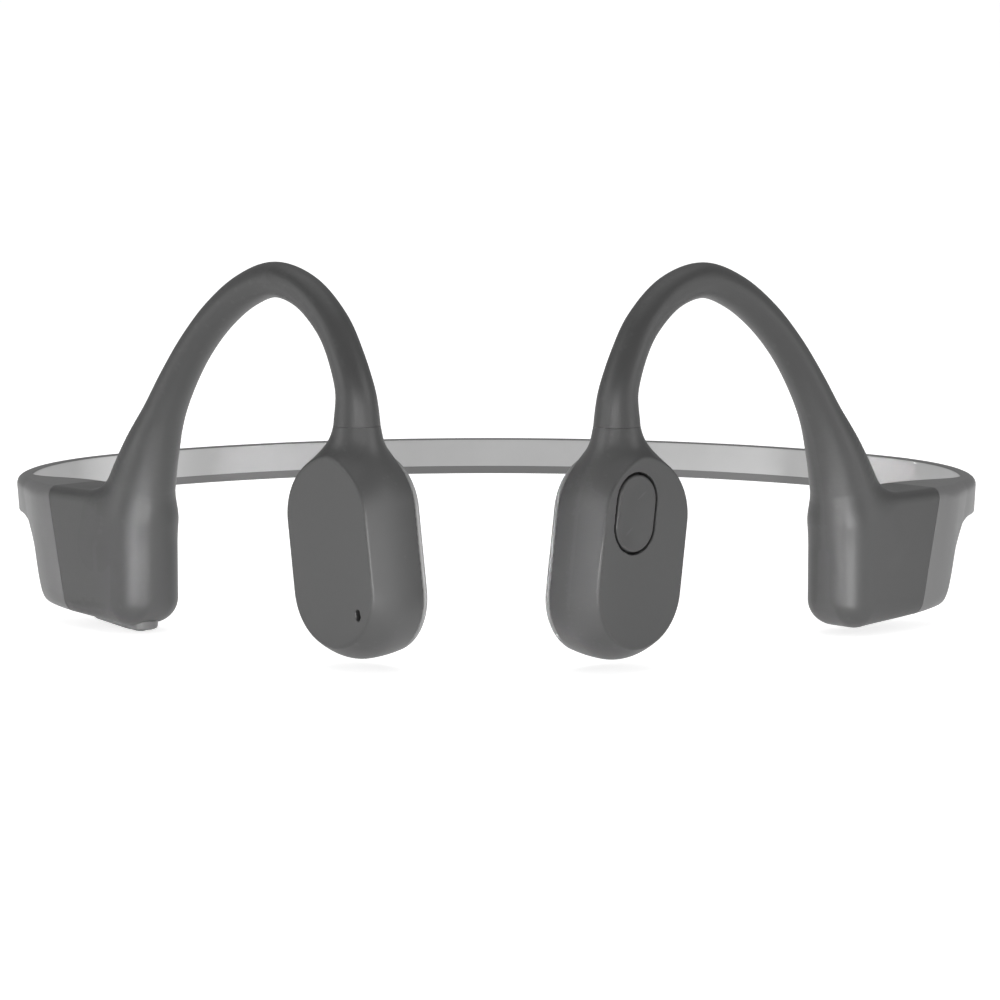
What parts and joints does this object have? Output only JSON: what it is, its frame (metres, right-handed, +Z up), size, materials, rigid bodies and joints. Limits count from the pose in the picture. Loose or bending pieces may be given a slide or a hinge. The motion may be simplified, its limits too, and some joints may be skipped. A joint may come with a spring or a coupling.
{
  "type": "bone conduction headphones",
  "caption": "Behind-the-head wireless headphones: flexible neckband, ear hooks with pods, and bone conduction transducers that rest on the cheekbones.",
  "frame": {"origin": "centre of the footprint, level with the lowest point (the front volume key)", "axes": "+X to the wearer's left, the wearer faces -Y, +Z up towards the crown of the head"},
  "size_m": [0.1266, 0.1016, 0.0488],
  "materials": {
    "hook_silicone": "matte soft-touch silicone",
    "band_silicone": "matte soft-touch silicone, lighter grey",
    "pad_silicone": "fine matte silicone",
    "dark_plastic": "fine spark-eroded texture",
    "button_plastic": "fine matte texture",
    "bezel_plastic": "fine matte texture",
    "spring_wire": "drawn titanium alloy wire",
    "lead_jacket": "satin jacket",
    "seal_rubber": "matte",
    "steel": "turned",
    "magnet": "nickel plated",
    "copper": "enamelled copper winding",
    "spring_brass": "stamped sheet",
    "inner_plastic": "moulded",
    "switch_metal": "stamped",
    "circuit_board": "solder resist",
    "battery_foil": "laminate foil",
    "shield_metal": "tin plated",
    "gold": "gold plated",
    "light_plastic": "diffusing",
    "port_plastic": "satin",
    "mesh_metal": "woven mesh, blackened"
  },
  "bodies": {
    "neckband": {"band_back_sleeve": "band_silicone", "band_back_wire": "spring_wire", "band_back_lead": "lead_jacket"},
    "left_arm": {"left_band_sleeve": "band_silicone", "left_band_wire": "spring_wire", "left_band_lead": "lead_jacket", "left_hook_moulding": "hook_silicone", "left_hook_wire": "spring_wire", "left_hook_lead": "lead_jacket", "left_pod_cover": "dark_plastic", "left_transducer_shell": "dark_plastic", "left_contact_pad": "pad_silicone", "left_pad_gasket": "seal_rubber", "left_driver_yoke": "steel", "left_driver_magnet": "magnet", "left_driver_top_plate": "steel", "left_driver_coil": "copper", "left_driver_spider": "spring_brass", "left_driver_post": "inner_plastic", "button_membrane": "seal_rubber", "button_switch": "switch_metal", "button_board": "circuit_board", "battery": "battery_foil", "battery_board": "circuit_board"},
    "right_arm": {"right_band_sleeve": "band_silicone", "right_band_wire": "spring_wire", "right_band_lead": "lead_jacket", "right_hook_moulding": "hook_silicone", "right_hook_wire": "spring_wire", "right_hook_lead": "lead_jacket", "right_pod_cover": "dark_plastic", "right_transducer_shell": "dark_plastic", "right_contact_pad": "pad_silicone", "right_pad_gasket": "seal_rubber", "right_driver_yoke": "steel", "right_driver_magnet": "magnet", "right_driver_top_plate": "steel", "right_driver_coil": "copper", "right_driver_spider": "spring_brass", "right_driver_post": "inner_plastic", "main_board": "circuit_board", "radio_shield": "shield_metal", "antenna": "gold", "key_bezel": "bezel_plastic", "key_switches": "switch_metal", "key_board": "circuit_board", "status_light_pipe": "light_plastic", "charging_port": "port_plastic", "charging_contacts": "gold", "charging_magnets": "magnet", "microphone": "switch_metal", "microphone_mesh": "mesh_metal"},
    "function_button": {"multifunction_button": "button_plastic"},
    "volume_up": {"volume_up_key": "button_plastic"},
    "volume_down": {"volume_down_key": "button_plastic"}
  },
  "joints": [
    {"name": "left_flex", "type": "hinge", "parent": "neckband", "child": "left_arm", "pos_m": [0.032, 0.04256, 0.0155], "axis": [0, 0, 1], "range_deg": [0, 40], "stiffness_Nm_per_rad": 0.2},
    {"name": "right_flex", "type": "hinge", "parent": "neckband", "child": "right_arm", "pos_m": [-0.032, 0.04256, 0.0155], "axis": [0, 0, -1], "range_deg": [0, 40], "stiffness_Nm_per_rad": 0.2},
    {"name": "function_button_press", "type": "slide", "parent": "left_arm", "child": "function_button", "axis": [-0.7071, 0.7071, 0], "range_m": [0, 0.0003], "stiffness_N_per_m": 4000},
    {"name": "volume_up_press", "type": "slide", "parent": "right_arm", "child": "volume_up", "axis": [0.0704, -0.0704, 0.995], "range_m": [0, 0.0003], "stiffness_N_per_m": 4000},
    {"name": "volume_down_press", "type": "slide", "parent": "right_arm", "child": "volume_down", "axis": [0.0704, -0.0704, 0.995], "range_m": [0, 0.0003], "stiffness_N_per_m": 4000}
  ]
}
